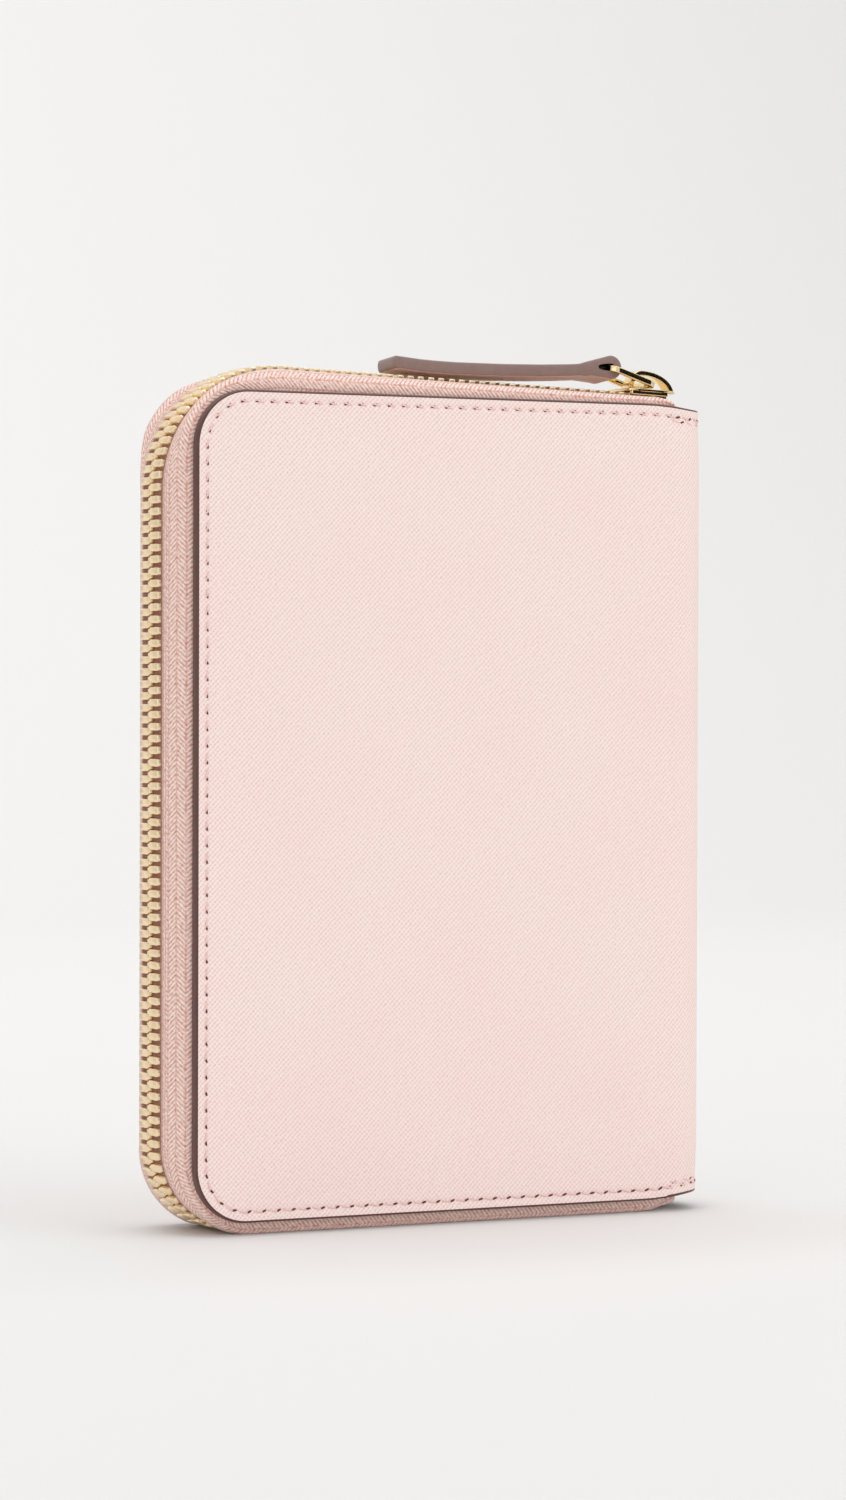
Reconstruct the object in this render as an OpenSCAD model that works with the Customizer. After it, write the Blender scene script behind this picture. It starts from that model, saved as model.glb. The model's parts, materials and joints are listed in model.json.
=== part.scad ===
// Zip-around travel wallet, standing on the bottom run of its zip.
// X runs from the zip side to the spine, Y through the thickness (back cover at -Y), Z up.
// The origin is the middle of the foot that the wallet stands on.

/* [Wallet] */
// Width from the zip's teeth to the back of the spine
wallet_w = 104.6; // [100:0.2:112]
// Thickness when closed, over both covers
wallet_t = 22; // [20:0.2:24]
// Height of the leather covers
cover_h = 139.5; // [130:0.5:150]
// Radius of the covers' two corners on the zip side
corner_r = 9.5; // [9:0.5:12]
// Height of the covers' bottom edge above the ground
cover_lift = 2.2; // [1.8:0.1:2.4]
// Depth of the rounded spine, from the fold line to its back
spine_depth = 6; // [5:0.5:7]
// How much shorter the spine is than the covers, at each end
spine_dip = 0.75; // [0:0.25:1.5]

/* [Layers] */
// Outer leather
leather_t = 1.2; // [1:0.1:1.4]
// Stiffening board behind the outer leather
board_t = 0.8; // [0.6:0.1:1]
// Lining leather
lining_t = 0.6; // [0.4:0.1:0.8]
// Woven zip tape
tape_t = 0.5; // [0.4:0.1:0.6]
// Width of tape sewn between board and lining
tape_margin = 5; // [4:0.5:6]

/* [Zip] */
// Spacing of the teeth in one row
pitch = 2; // [1.8:0.1:2.4]
// Length of one tooth along the zip
tooth_len = 1.1; // [0.9:0.1:1.3]
// Half of a tooth's height
tooth_rise = 0.95; // [0.9:0.05:1]
// Reach of a tooth from the zip's middle line
tooth_reach = 3.5; // [3.2:0.1:3.7]
// How far the zip stands out beyond the covers' zip-side edge
side_bulge = 2.35; // [2:0.05:3]
// How far the zip stands above the covers' top edge at the corner
top_bulge = 4.1; // [3.8:0.1:4.6]
// Fall of the top run towards the spine, in degrees
ridge_fall = 2; // [1.5:0.1:2.5]
// Radius of the zip's lower corner
bend_r = 14; // [12:1:16]
// Radius of the zip's upper corner
high_bend_r = 21; // [18:1:22]
// Length of the slider
slider_len = 10.6; // [9:0.2:12]

/* [Pull] */
// Length of the leather tab
tab_len = 45; // [42:1:50]
// Width of the leather tab
tab_w = 6.7; // [6:0.1:7]
// Thickness of the leather tab
tab_t = 2.2; // [2:0.1:2.4]
// Thickness of the wire of the link
wire_d = 1.2; // [1:0.1:1.3]

/* [Pockets] */
// Number of card slots
slot_count = 4; // [4]
// Width of a card slot, for a card of 85.6 mm
slot_w = 88; // [88:0.5:89]
// Height of the lowest card slot
slot_h = 44; // [40:1:48]
// Rise from one card slot to the next
slot_step = 16; // [12:1:18]

/* [Hidden] */

// Leather and brass as they look
leather_c = [0.95, 0.80, 0.77];
tape_c = [0.84, 0.62, 0.60];
edge_c = [0.45, 0.35, 0.33];
brass_c = [0.92, 0.80, 0.50];
board_c = [0.80, 0.76, 0.68];

half_t = wallet_t / 2;
spine_x = wallet_w / 2;                   // back of the spine
fold_x = spine_x - spine_depth;           // both fold lines
zip_x = -wallet_w / 2 + tooth_rise;       // tape plane of the side run
cover_x0 = zip_x + side_bulge;            // zip-side edge of the covers
cover_z0 = cover_lift;
cover_z1 = cover_lift + cover_h;
fold_gap = 0.15;                          // each side of a fold line

board_y = half_t - leather_t;             // distances from the middle plane
tape_y = board_y - board_t;
lining_y = tape_y - tape_t;
pocket_y = lining_y - lining_t;
tape_mid_y = tape_y - tape_t / 2;

// The zip's tape plane
foot_z = tooth_rise + 0.05;               // bottom run
row_gap = 0.4;                            // the teeth start this far from the middle
web_t = 0.35;                             // metal round the edge of the tape
sole_drop = foot_z - tape_t / 2;          // tape sags this far to meet the ground
sole_sag = 1.5;                           // depth of that sag before the ground flattens it
top_z = cover_z1 + top_bulge;             // tape plane of the top run where it leaves the corner
low_x = zip_x + bend_r;                   // where the bottom run starts
tape_end_top = fold_x - 1.2;
tape_end_low = fold_x - 4;
bend_steps = 8;
high_bend_steps = 12;
section_steps = 6;

function ridge_z(x) = top_z - (x - low_x) * tan(ridge_fall);

// Stations along the zip: [x, z, outward x, outward z, reach to the cover edge, sag]
function low_station(x) = [x, foot_z, 0, -1, cover_z0 - foot_z, 1];
function top_station(x) =
    [x, ridge_z(x), sin(ridge_fall), cos(ridge_fall), ridge_z(x) - cover_z1, 0];
low_bend = [low_x, foot_z + bend_r];
high_bend = [zip_x + high_bend_r, ridge_z(zip_x + high_bend_r) - high_bend_r / cos(ridge_fall)];
top_x = high_bend[0] + high_bend_r * sin(ridge_fall);  // where the top run starts
// How far a point of the zip's line stands out beyond the covers' rounded corner
function stand_out(x, z) =
    norm([max(cover_x0 + corner_r - x, 0), max(z - cover_z1 + corner_r, 0)]) - corner_r;
function low_bend_station(k) =
    let (a = 90 * k / bend_steps, t = k / bend_steps)
    [low_bend[0] - bend_r * sin(a), low_bend[1] - bend_r * cos(a), -sin(a), -cos(a),
     (cover_z0 - foot_z) * (1 - t) + side_bulge * t, (1 - t) * (1 - t)];
function high_bend_station(k) =
    let (a = (90 + ridge_fall) * k / high_bend_steps,
         x = high_bend[0] - high_bend_r * cos(a), z = high_bend[1] + high_bend_r * sin(a))
    [x, z, -cos(a), sin(a), max(stand_out(x, z), 0.4), 0];

stations = concat(
    [low_station(tape_end_low)],
    [for (k = [0 : bend_steps]) low_bend_station(k)],
    [for (k = [0 : high_bend_steps]) high_bend_station(k)],
    [top_station(tape_end_top)]
);

// Half of the tape's section at one station, as [distance inwards, distance from the middle]
function section_point(k, reach, sag) =
    let (a = 90 * k / section_steps,
         flat_y = tooth_reach + 0.3,
         depth = reach * (1 - cos(a)) - sag * sole_sag * sin(2 * a))
    [sag > 0 ? max(depth, -sole_drop) : depth, flat_y + (tape_mid_y - flat_y) * sin(a)];
function section(reach, sag) = concat(
    [[0, row_gap + web_t + 0.1]],
    [for (k = [0 : section_steps]) section_point(k, reach, sag)],
    [[reach + tape_margin, tape_mid_y]]
);
function unit(v) = v / norm(v);
function along(line, k) = unit(line[min(k + 1, len(line) - 1)] - line[max(k - 1, 0)]);
function thick_ring(line) =
    let (last = len(line) - 1, h = tape_t / 2)
    concat(
        [for (k = [0 : last]) line[k] + h * [-along(line, k)[1], along(line, k)[0]]],
        [for (k = [last : -1 : 0]) line[k] - h * [-along(line, k)[1], along(line, k)[0]]]
    );
function place(station, p) =
    [station[0] - station[2] * p[0], -p[1], station[1] - station[3] * p[0]];

// Slider frame: middle of the slider on the tape plane, at the closed end of its travel
slider_x = fold_x - slider_len / 2 + 2.2;
plate_t = 0.55;
plate_gap = 0.15;
plate_z = tooth_rise + plate_gap;         // inner faces of the two plates
plate_top = plate_z + plate_t;
flange_y = tooth_reach + 0.25;
flange_t = 0.95;
nose_x = slider_len / 2;

// Bridge over the slider, in the slider frame
bridge_w = 2.4;
bridge_t = 0.85;
bridge_top = plate_top + 3.5;
bridge_peak = -0.9;                       // where the arch is highest
bridge_back = 2.6;                        // run of the arch from its peak to the back foot
bridge_front = nose_x + 0.5 - bridge_peak;
arch_steps = 14;

// Link: a flat ring from under the bridge to the eye of the tab
pivot_x = -0.1;
pivot_z = plate_top + 0.2 + wire_d / 2;
link_len = 8.6;
link_lift = 16;                           // the link slopes up towards the tab
link_in = tab_w / 2 + 0.25;               // half of its inner width

eye_r = 2.1;
eye_hole = wire_d / 2 + 0.12;

// Places a flat outline, drawn in X and Z, between two distances y0 < y1 from the middle, back side
module layer(y0, y1) {
    translate([0, -y0, 0])
        rotate([90, 0, 0])
            linear_extrude(y1 - y0)
                children();
}

module cover_outline(inset, end_x) {
    r = corner_r - inset;
    x0 = cover_x0 + inset;
    z0 = cover_z0 + inset;
    z1 = cover_z1 - inset;
    translate([x0 + r, z0])
        square([end_x - x0 - r, z1 - z0]);
    translate([x0, z0 + r])
        square([2 * r, z1 - z0 - 2 * r]);
    for (z = [z0 + r, z1 - r])
        translate([x0 + r, z])
            circle(r, $fn = 96);
}

module leather_panel() {
    color(leather_c)
        layer(board_y, half_t)
            cover_outline(0, fold_x - fold_gap);
}

module board_panel() {
    color(board_c)
        layer(tape_y, board_y)
            cover_outline(0.2, fold_x - 2);
}

module lining_panel() {
    color(tape_c)
        layer(pocket_y, lining_y)
            cover_outline(1.5, fold_x - 0.6);
}

// A pocket is a panel held off its backing by a rim on three sides, open at the top
module pocket(w, h, bottom, back, rim_t, panel_t, rim_w) {
    mid_x = (cover_x0 + fold_x) / 2;
    color(leather_c)
        union() {
            layer(back - rim_t - panel_t, back - rim_t)
                translate([mid_x - w / 2, bottom])
                    square([w, h]);
            layer(back - rim_t, back)
                translate([mid_x - w / 2, bottom])
                    difference() {
                        square([w, h]);
                        translate([rim_w, rim_w])
                            square([w - 2 * rim_w, h]);
                    }
        }
}

// Triangles that close a ring made by thick_ring, from one of its two lines to the other
function ring_cap(sides) = [
    for (k = [0 : sides / 2 - 2], half = [0, 1])
        half == 0 ? [k, k + 1, sides - 2 - k] : [k, sides - 2 - k, sides - 1 - k]
];

// One half of the tape, swept along the stations
module tape_half() {
    rings = [for (s = stations) [for (p = thick_ring(section(s[4], s[5]))) place(s, p)]];
    sides = len(rings[0]);
    last = len(rings) - 1;
    color(tape_c)
        polyhedron(
            points = [for (ring = rings) each ring],
            faces = concat(
                ring_cap(sides),
                [for (tri = ring_cap(sides)) [for (k = [2 : -1 : 0]) last * sides + tri[k]]],
                [for (r = [0 : last - 1], k = [0 : sides - 1], half = [0, 1])
                    let (n = (k + 1) % sides, a = r * sides + k, b = (r + 1) * sides + n)
                    half == 0 ? [a, a + sides, b] : [a, b, r * sides + n]]
            ),
            convexity = 8
        );
}

// A tooth grips the bead edge of the tape between two jaws
module tooth() {
    jaw = tape_t / 2 + 0.1;
    rotate([90, 0, 90])
        linear_extrude(tooth_len, center = true)
            polygon([
                [-row_gap, -tooth_rise], [-tooth_reach, -tooth_rise], [-tooth_reach, -jaw],
                [-row_gap - web_t, -jaw], [-row_gap - web_t, jaw], [-tooth_reach, jaw],
                [-tooth_reach, tooth_rise], [-row_gap, tooth_rise]
            ]);
}

// Places its children on the zip, with their own Z pointing outwards and X along the run
module on_run(x, z, lean) {
    translate([x, 0, z])
        rotate([0, lean, 0])
            children();
}

module teeth_row(first_gap, end_x) {
    low_teeth = floor(bend_r * PI / 2 / pitch);
    high_teeth = floor(high_bend_r * PI / 2 / pitch);
    side_len = high_bend[1] - low_bend[1];
    side_teeth = floor(side_len / pitch);
    color(brass_c) {
        for (x = [low_x + first_gap : pitch : tape_end_low - 3])
            on_run(x, foot_z, 180)
                tooth();
        for (k = [1 : low_teeth - 1])
            let (a = 90 * (k - first_gap / pitch + 0.5) / low_teeth)
            on_run(low_bend[0] - bend_r * sin(a), low_bend[1] - bend_r * cos(a), 180 + a)
                tooth();
        for (k = [0 : side_teeth])
            on_run(zip_x, low_bend[1] + first_gap + k * side_len / (side_teeth + 1), -90)
                tooth();
        for (k = [1 : high_teeth - 1])
            let (a = 90 * (k + first_gap / pitch - 0.5) / high_teeth)
            on_run(high_bend[0] - high_bend_r * cos(a), high_bend[1] + high_bend_r * sin(a), a - 90)
                tooth();
        for (x = [top_x + first_gap : pitch : end_x])
            on_run(x, ridge_z(x), ridge_fall)
                tooth();
    }
}

// Small clips that close the row. The one at the slider's end is on the back half only
module stop_clips(at_slider) {
    clip_len = 1.6;
    color(brass_c) {
        on_run(tape_end_low - 1.4, foot_z, 180)
            stop_clip(clip_len);
        if (at_slider)
            on_run(tape_end_top - 0.9, ridge_z(tape_end_top - 0.9), ridge_fall)
                stop_clip(clip_len * 0.6);
    }
}

module stop_clip(clip_len) {
    jaw = tape_t / 2 + 0.1;
    rise = tooth_rise * 0.85;
    clip_reach = 2.2;
    rotate([90, 0, 90])
        linear_extrude(clip_len, center = true)
            polygon([
                [-row_gap, -rise], [-clip_reach, -rise], [-clip_reach, -jaw],
                [-row_gap - web_t, -jaw], [-row_gap - web_t, jaw], [-clip_reach, jaw],
                [-clip_reach, rise], [-row_gap, rise]
            ]);
}

// Spine section seen from above: round edges joined by a flat back
module spine_section(inset) {
    r = spine_depth - inset;
    y = half_t - spine_depth;
    intersection() {
        union() {
            translate([fold_x - r, -half_t + inset])
                square([r, wallet_t - 2 * inset]);
            translate([fold_x - r, -y])
                square([2 * r, 2 * y]);
            for (side = [-1, 1])
                translate([fold_x, side * y])
                    circle(r, $fn = 96);
        }
        translate([fold_x + fold_gap, -half_t])
            square([2 * spine_depth, wallet_t]);
    }
}

module spine_shell(outer, inner) {
    translate([0, 0, cover_z0 + spine_dip])
        linear_extrude(cover_h - 2 * spine_dip)
            difference() {
                spine_section(outer);
                spine_section(inner);
            }
}

module in_slider_frame() {
    on_run(slider_x, ridge_z(slider_x), ridge_fall)
        children();
}

// Outline of a slider plate, widest just behind the nose
module plate_outline() {
    wide = flange_y + flange_t;
    polygon([
        [-nose_x, -wide + 0.5], [-nose_x + 0.5, -wide], [1, -wide], [nose_x - 1.6, -wide + 0.2],
        [nose_x, -2.2], [nose_x, 2.2], [nose_x - 1.6, wide - 0.2], [1, wide],
        [-nose_x + 0.5, wide], [-nose_x, wide - 0.5]
    ]);
}

// Back half
module back_leather() { leather_panel(); }
module back_board() { board_panel(); }
module back_lining() { lining_panel(); }
module back_tape() { tape_half(); }
module back_teeth() { teeth_row(0, tape_end_top - 2.6); }
module back_stops() { stop_clips(at_slider = true); }
module passport_pocket() {
    pocket(w = 90, h = 98, bottom = 12, back = pocket_y, rim_t = 0.5, panel_t = 0.7, rim_w = 3);
}

// Spine
module spine_leather() { color(leather_c) spine_shell(0, leather_t); }
module spine_lining() { color(tape_c) spine_shell(leather_t, leather_t + lining_t); }

// Front half, mirrored from the back
module front_leather() { mirror([0, 1, 0]) leather_panel(); }
module front_board() { mirror([0, 1, 0]) board_panel(); }
module front_lining() { mirror([0, 1, 0]) lining_panel(); }
module front_tape() { mirror([0, 1, 0]) tape_half(); }
module front_teeth() { mirror([0, 1, 0]) teeth_row(pitch / 2, slider_x - nose_x - 2); }
module front_stops() { mirror([0, 1, 0]) stop_clips(at_slider = false); }
module slip_pocket() {
    mirror([0, 1, 0])
        pocket(w = 90, h = 118, bottom = 12, back = pocket_y, rim_t = 0.5, panel_t = 0.6, rim_w = 3);
}

// Card slots stack forwards from the slip pocket, the highest one at the back
module card_slot(number) {
    slot_back = pocket_y - 1.1;
    layer_t = 0.7;
    mirror([0, 1, 0])
        pocket(w = slot_w, h = slot_h + slot_step * (number - 1), bottom = 16,
               back = slot_back - layer_t * (slot_count - number), rim_t = 0.2, panel_t = 0.5,
               rim_w = 2);
}
module card_slot_1() { card_slot(1); }
module card_slot_2() { card_slot(2); }
module card_slot_3() { card_slot(3); }
module card_slot_4() { card_slot(4); }

// Two plates joined by a post at the nose, with flanges that leave a slit for the tape
module slider_body() {
    post_w = 0.5;
    post_l = 2.2;
    slit_up = tape_t / 2 + 0.25;
    slit_down = tape_t / 2 + 0.55;
    color(brass_c)
        in_slider_frame()
            union() {
                for (z = [plate_z, -plate_top])
                    translate([0, 0, z])
                        linear_extrude(plate_t)
                            plate_outline();
                for (side = [-1, 1]) {
                    translate([-nose_x + 0.5, side * (flange_y + flange_t / 2) - flange_t / 2, slit_up])
                        cube([slider_len - 3, flange_t, plate_z - slit_up + 0.1]);
                    translate([-nose_x + 0.5, side * (flange_y + flange_t / 2) - flange_t / 2,
                               -plate_z - 0.1])
                        cube([slider_len - 3, flange_t, plate_z - slit_down + 0.1]);
                }
                translate([nose_x - post_l - 0.4, -post_w / 2, -plate_z - 0.1])
                    cube([post_l, post_w, 2 * plate_z + 0.2]);
            }
}

// Upper edge of the arch: two quarter ellipses that meet at the peak
function arch_point(k, shrink) =
    let (a = 180 * k / arch_steps,
         run = cos(a) > 0 ? bridge_front : bridge_back,
         base = cos(a) > 0 ? plate_z : plate_top,
         height = bridge_top - base)
    [bridge_peak + (run - shrink) * cos(a), base + (height - shrink) * sin(a)];

module slider_bridge() {
    outer = [for (k = [0 : arch_steps]) arch_point(k, 0)];
    inner = [for (k = [arch_steps : -1 : 0]) arch_point(k, bridge_t)];
    color(brass_c)
        in_slider_frame()
            difference() {
                translate([0, bridge_w / 2, 0])
                    rotate([90, 0, 0])
                        linear_extrude(bridge_w)
                            polygon(concat(outer, inner));
                translate([-nose_x, -bridge_w, -plate_z - 1])
                    cube([slider_len, 2 * bridge_w, plate_top + plate_z + 1]);
            }
}

// Frame of the link: at its pivot, X towards the bar in the tab's eye
module in_link_frame() {
    in_slider_frame()
        translate([pivot_x, 0, pivot_z])
            rotate([0, link_lift, 0])
                children();
}

module pull_link() {
    bar_r = wire_d / 2 - 0.05;
    color(brass_c)
        in_link_frame()
            union() {
                for (x = [0, -link_len])
                    translate([x, 0, 0])
                        rotate([90, 0, 0])
                            cylinder(h = 2 * link_in + 0.5, r = bar_r, center = true, $fn = 48);
                for (y = [-link_in - wire_d, link_in])
                    translate([-link_len - wire_d / 2, y, -wire_d / 2])
                        cube([link_len + wire_d, wire_d, wire_d]);
            }
}

// Centre of the bar that the tab hangs on
bar_x = slider_x + (pivot_x - link_len * cos(link_lift)) * cos(ridge_fall)
    + (pivot_z + link_len * sin(link_lift)) * sin(ridge_fall);
bar_z = ridge_z(slider_x) - (pivot_x - link_len * cos(link_lift)) * sin(ridge_fall)
    + (pivot_z + link_len * sin(link_lift)) * cos(ridge_fall);

// Middle line of the tab's strap, from the bar: it lies on the teeth and its end lifts a little
strap = [
    [eye_r - tab_len, -0.5], [-38, -0.95], [-31, -1.2], [-22, -1.2], [-14, -1.05], [-7, -0.75],
    [-3.6, -0.5]
];

// Leather strap folded over the bar, its two layers glued and its edges painted
module pull_tab() {
    inside = eye_r * 0.96;                // the strap runs into the eye's round wall
    last = len(strap) - 1;
    color(edge_c)
        translate([bar_x, tab_w / 2, bar_z])
            rotate([90, 0, 0])
                difference() {
                    union() {
                        cylinder(h = tab_w, r = eye_r, $fn = 64);
                        linear_extrude(tab_w)
                            polygon(concat(
                                [for (p = strap) [p[0], p[1] - tab_t / 2]],
                                [[inside * sin(20), -inside * cos(20)]],
                                [[-inside * sin(30), inside * cos(30)]],
                                [for (k = [last : -1 : 0]) [strap[k][0], strap[k][1] + tab_t / 2]]
                            ));
                    }
                    translate([0, 0, -1])
                        cylinder(h = tab_w + 2, r = eye_hole, $fn = 48);
                }
}

back_leather();
back_board();
back_lining();
passport_pocket();
back_tape();
back_teeth();
back_stops();
spine_leather();
spine_lining();
front_leather();
front_board();
front_lining();
slip_pocket();
card_slot_1();
card_slot_2();
card_slot_3();
card_slot_4();
front_tape();
front_teeth();
front_stops();
slider_body();
slider_bridge();
pull_link();
pull_tab();
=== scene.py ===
import json
import math

import bmesh
import bpy
from mathutils import Matrix, Vector


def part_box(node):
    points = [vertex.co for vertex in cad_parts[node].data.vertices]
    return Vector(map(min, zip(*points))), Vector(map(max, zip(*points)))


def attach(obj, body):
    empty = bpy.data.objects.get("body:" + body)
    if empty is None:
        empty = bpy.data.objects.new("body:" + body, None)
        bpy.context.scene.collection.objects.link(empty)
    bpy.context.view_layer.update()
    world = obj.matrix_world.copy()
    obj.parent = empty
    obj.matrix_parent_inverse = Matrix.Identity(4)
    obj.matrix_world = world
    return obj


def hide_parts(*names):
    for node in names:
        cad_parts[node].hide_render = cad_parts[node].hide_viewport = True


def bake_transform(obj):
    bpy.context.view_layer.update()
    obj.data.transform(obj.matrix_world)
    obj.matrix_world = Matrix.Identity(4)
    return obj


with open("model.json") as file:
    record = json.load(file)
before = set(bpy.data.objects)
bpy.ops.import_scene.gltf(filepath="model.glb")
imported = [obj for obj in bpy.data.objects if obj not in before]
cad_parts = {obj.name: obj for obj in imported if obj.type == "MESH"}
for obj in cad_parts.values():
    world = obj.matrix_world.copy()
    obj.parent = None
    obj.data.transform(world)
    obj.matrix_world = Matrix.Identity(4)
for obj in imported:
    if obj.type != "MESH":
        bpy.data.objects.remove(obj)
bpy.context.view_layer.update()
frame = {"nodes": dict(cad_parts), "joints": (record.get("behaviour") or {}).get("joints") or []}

mm = 0.001


# ---- sizes read from the frame

leatherLow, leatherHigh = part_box("back_leather")
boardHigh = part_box("back_board")[1]
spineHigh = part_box("spine_leather")[1]
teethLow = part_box("back_teeth")[0]
sliderLow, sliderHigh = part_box("slider_body")
jointPlace = {j["name"]: j for j in frame["joints"]}
foldX = jointPlace["spine_fold"]["pos_m"][0]
barPlace = Vector(jointPlace["tab_swing"]["pos_m"])
pivotPlace = Vector(jointPlace["link_swing"]["pos_m"])

cover = {
    "left": leatherLow.x, "low": leatherLow.z, "high": leatherHigh.z,
    "face": -leatherLow.y,                      # outer face, from the middle plane
    "thick": -leatherLow.y + boardHigh.y,
    "corner": 9.5 * mm,
    "crown": 0.22 * mm,                         # how far the panel swells between its stitches
    "stitchInset": 1.85 * mm, "grooveDepth": 0.13 * mm, "grooveWidth": 0.38 * mm,
    "edgeRound": 0.35 * mm, "edgeBelly": 0.1 * mm,
    "spineStart": foldX - 3.8 * mm,             # where the flat cover starts to turn
    "spineBack": spineHigh.x, "spinePower": 2.25,
    "spineDip": 0.75 * mm, "dipStart": foldX - 8 * mm, "dipRun": 11 * mm,
}

zipper = {
    "rise": 0.95 * mm,                          # half of a tooth's height
    "bend": 14 * mm, "highBend": 21 * mm, "fall": math.radians(2),
    "tape": 0.5 * mm, "topAbove": 4.1 * mm, "foot": 1.0 * mm, "sag": 1.5 * mm,
    "margin": 3 * mm, "pitch": 2.0 * mm, "tapeStart": 0.55 * mm,
}
zipper["side"] = teethLow.x + zipper["rise"] - 0.55 * mm
zipper["topZ"] = cover["high"] + zipper["topAbove"]
zipper["cornerX"] = zipper["side"] + zipper["bend"]
zipper["edgeY"] = -boardHigh.y - zipper["tape"] / 2


def smooth(t):
    t = min(1.0, max(0.0, t))
    return t * t * (3 - 2 * t)


def quarter(steps):
    # the angles of a quarter turn
    return [math.pi / 2 * k / steps for k in range(steps + 1)]


# ---- node trees written as sums

class Wire:
    # one output socket, so that shader maths reads as maths
    def __init__(self, tree, socket):
        self.tree = tree
        self.socket = socket

    def __add__(self, other):
        return self.tree.sum("ADD", self, other)

    def __radd__(self, other):
        return self.tree.sum("ADD", other, self)

    def __sub__(self, other):
        return self.tree.sum("SUBTRACT", self, other)

    def __rsub__(self, other):
        return self.tree.sum("SUBTRACT", other, self)

    def __mul__(self, other):
        return self.tree.sum("MULTIPLY", self, other)

    def __rmul__(self, other):
        return self.tree.sum("MULTIPLY", other, self)

    def __truediv__(self, other):
        return self.tree.sum("DIVIDE", self, other)

    def __pow__(self, other):
        return self.tree.sum("POWER", self, other)


class NodeSheet:
    def __init__(self, tree):
        self.tree = tree

    def plug(self, target, value):
        if isinstance(value, Wire):
            self.tree.links.new(value.socket, target)
        elif value is not None:
            target.default_value = value

    def node(self, kind, settings=None, inputs=None, output=0):
        made = self.tree.nodes.new(kind)
        for key, value in (settings or {}).items():
            if key == "stops":
                for place, (position, shade) in enumerate(value):
                    ramp = made.color_ramp.elements
                    stop = ramp[place] if place < 2 else ramp.new(position)
                    stop.position = position
                    stop.color = shade
            else:
                setattr(made, key, value)
        for key, value in (inputs or {}).items():
            self.plug(made.inputs[key], value)
        return Wire(self, made.outputs[output])

    def sum(self, operation, *parts):
        return self.node("ShaderNodeMath", {"operation": operation}, dict(enumerate(parts)))

    def mixColour(self, amount, first, second, blend="MIX"):
        return self.node("ShaderNodeMix", {"data_type": "RGBA", "blend_type": blend},
                         {0: amount, 6: first, 7: second}, output=2)

    def noise(self, place, scale, detail=2.0, rough=0.5):
        return self.node("ShaderNodeTexNoise", None,
                         {"Vector": place, "Scale": scale, "Detail": detail, "Roughness": rough})

    def split(self, vector):
        return [self.node("ShaderNodeSeparateXYZ", None, {0: vector}, output=k) for k in range(3)]

    def onSheet(self):
        # texture places, in millimetres along the leather or the tape
        return self.node("ShaderNodeTexCoord", output=2)

    def onPiece(self):
        # the piece's own places, in metres
        return self.node("ShaderNodeTexCoord", output=3)

    def ridges(self, turns):
        # one rounded ridge for each whole number of turns
        return self.sum("ABSOLUTE", self.sum("SINE", turns * math.pi))

    def remap(self, value, low, high, start, end):
        return self.node("ShaderNodeMapRange", None, {0: value, 1: low, 2: high, 3: start, 4: end})


def newMaterial(name, look):
    material = bpy.data.materials.new(name)
    material.use_nodes = True
    sheet = NodeSheet(material.node_tree)
    shader = next(n for n in material.node_tree.nodes if n.type == "BSDF_PRINCIPLED")
    for key, value in look.items():
        shader.inputs[key].default_value = value
    return material, sheet, shader


def paintInto(sheet, shader, colour, rough):
    sheet.plug(shader.inputs["Base Color"], colour)
    sheet.plug(shader.inputs["Roughness"], rough)


def bumpInto(sheet, shader, height, strength, distance):
    normal = sheet.node("ShaderNodeBump", None,
                        {"Height": height, "Strength": strength, "Distance": distance})
    sheet.plug(shader.inputs["Normal"], normal)


# ---- finishes

grain = {
    "pitch": 0.62,                               # millimetres between the pressed lines
    "pale": (0.985, 0.84, 0.80, 1), "deep": (0.97, 0.79, 0.745, 1),
    "valley": (0.80, 0.52, 0.47, 1),
}


def crossGrain(sheet, pitch):
    # two sets of pressed diagonal lines, the rising set deeper, broken up by a fine wobble
    flat = sheet.onSheet()
    u, v, _ = sheet.split(flat)
    wobble = (sheet.noise(flat, 1.1, 2.0) - 0.5) * 0.55
    run = pitch * math.sqrt(2)
    rising = sheet.ridges((u - v) / run + wobble)
    falling = sheet.ridges((u + v) / run - wobble)
    broken = sheet.noise(flat, 1.7, 3.0, 0.6)
    height = (rising ** 0.7) * 0.62 + (falling ** 0.8) * 0.34 * (broken + 0.5)
    return flat, height, broken


def makeLeather():
    material, sheet, shader = newMaterial("crossGrainLeather", {
        "Specular IOR Level": 0.45, "Coat Roughness": 0.35, "Coat Weight": 0.06})
    flat, height, broken = crossGrain(sheet, grain["pitch"])
    cloud = sheet.noise(flat, 0.035, 3.0, 0.55)
    drift = sheet.sum("SMOOTH_MIN", cloud * 1.4 - 0.2, 1.0, 0.1)
    tone = sheet.mixColour(drift, grain["pale"], grain["deep"])
    worn = height + (sheet.noise(flat, 2.3, 3.0, 0.6) - 0.5) * 0.9
    low = sheet.remap(worn, 0.1, 0.78, 1.0, 0.0)
    tone = sheet.mixColour(low, tone, grain["valley"])
    paintInto(sheet, shader, tone, 0.58 - height * 0.16)
    fine = sheet.noise(flat, 9.0, 2.0)
    bumpInto(sheet, shader, height + fine * 0.15, 0.9, 0.09 * mm)
    return material


def makeEdgePaintAndShade(name="edgePaint", colour=(0.075, 0.024, 0.018, 1), pale=(0.12, 0.045, 0.035, 1)):
    # also makes the painted shade inside the tab's eye
    material, sheet, shader = newMaterial(name, {
        "Specular IOR Level": 0.45, "Coat Weight": 0.15, "Coat Roughness": 0.22})
    place = sheet.onPiece()
    wander = sheet.noise(place, 900.0, 3.0)
    paintInto(sheet, shader, sheet.mixColour(wander, colour, pale), 0.3 + wander * 0.18)
    bumpInto(sheet, shader, sheet.noise(place, 1500.0, 2.0), 0.25, 0.06 * mm)
    return material


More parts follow.
